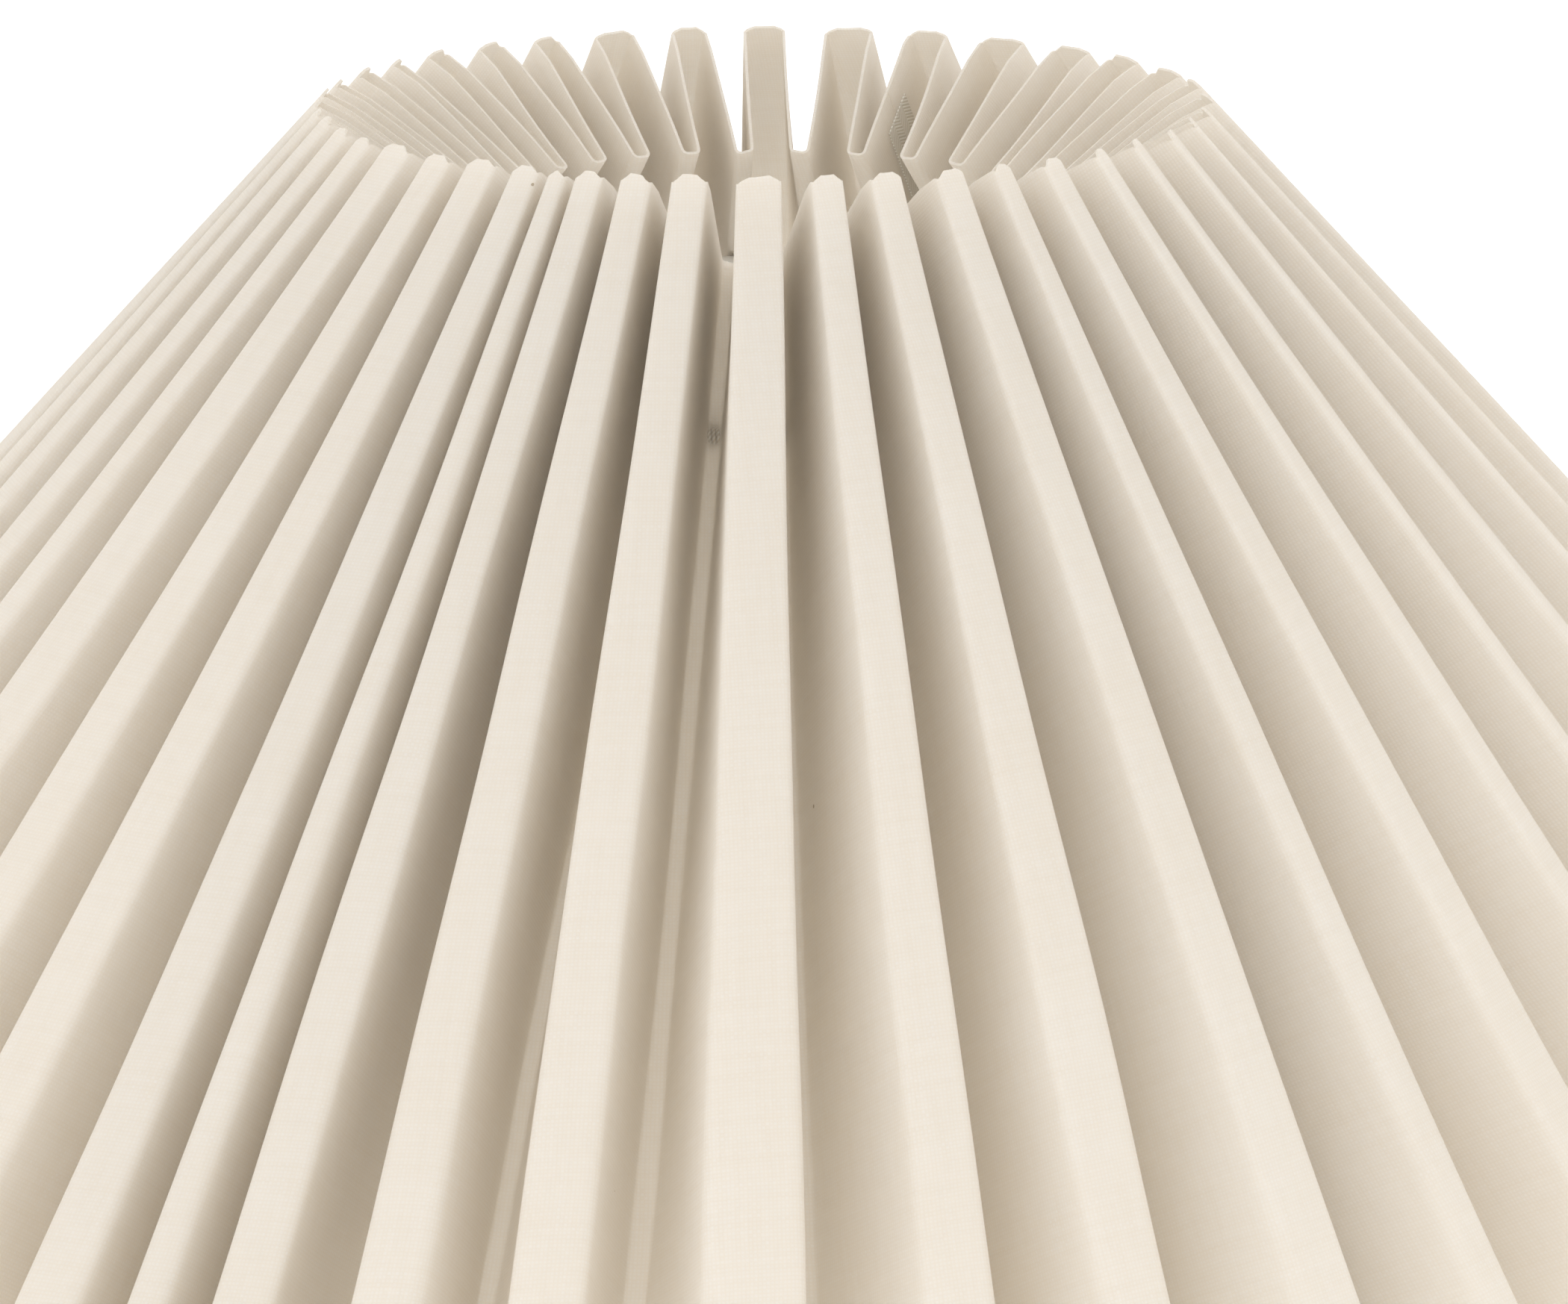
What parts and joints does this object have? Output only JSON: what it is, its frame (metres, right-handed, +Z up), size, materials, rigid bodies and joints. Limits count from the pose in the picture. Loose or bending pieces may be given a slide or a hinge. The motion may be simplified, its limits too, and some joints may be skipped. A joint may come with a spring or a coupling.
{
  "type": "lamp shade",
  "caption": "Box-pleated conical fabric lamp shade on a welded wire frame with a fitter ring.",
  "frame": {"origin": "centre of the fitter ring's hole, half way through its thickness", "axes": "+Z up along the shade's axis, from the wide end to the narrow end; -Y is the front, near where the pleats stand closest"},
  "size_m": [0.4525, 0.4533, 0.1751],
  "materials": {
    "linen": "natural linen backed with a thin stiff film",
    "tape": "woven cotton tape",
    "frame_wire": "white powder coat",
    "thread": "waxed cotton thread"
  },
  "bodies": {
    "root": {"cover_panel_1": "linen", "cover_panel_2": "linen", "cover_panel_3": "linen", "seam_tape_1": "tape", "seam_tape_2": "tape", "seam_tape_3": "tape", "top_ring": "frame_wire", "bottom_ring": "frame_wire", "strut_1": "frame_wire", "strut_2": "frame_wire", "strut_3": "frame_wire", "strut_4": "frame_wire", "strut_5": "frame_wire", "strut_6": "frame_wire", "fitter_ring": "frame_wire", "spider_arm_1": "frame_wire", "spider_arm_2": "frame_wire", "spider_arm_3": "frame_wire", "top_stitches": "thread", "bottom_stitches": "thread"}
  },
  "joints": []
}
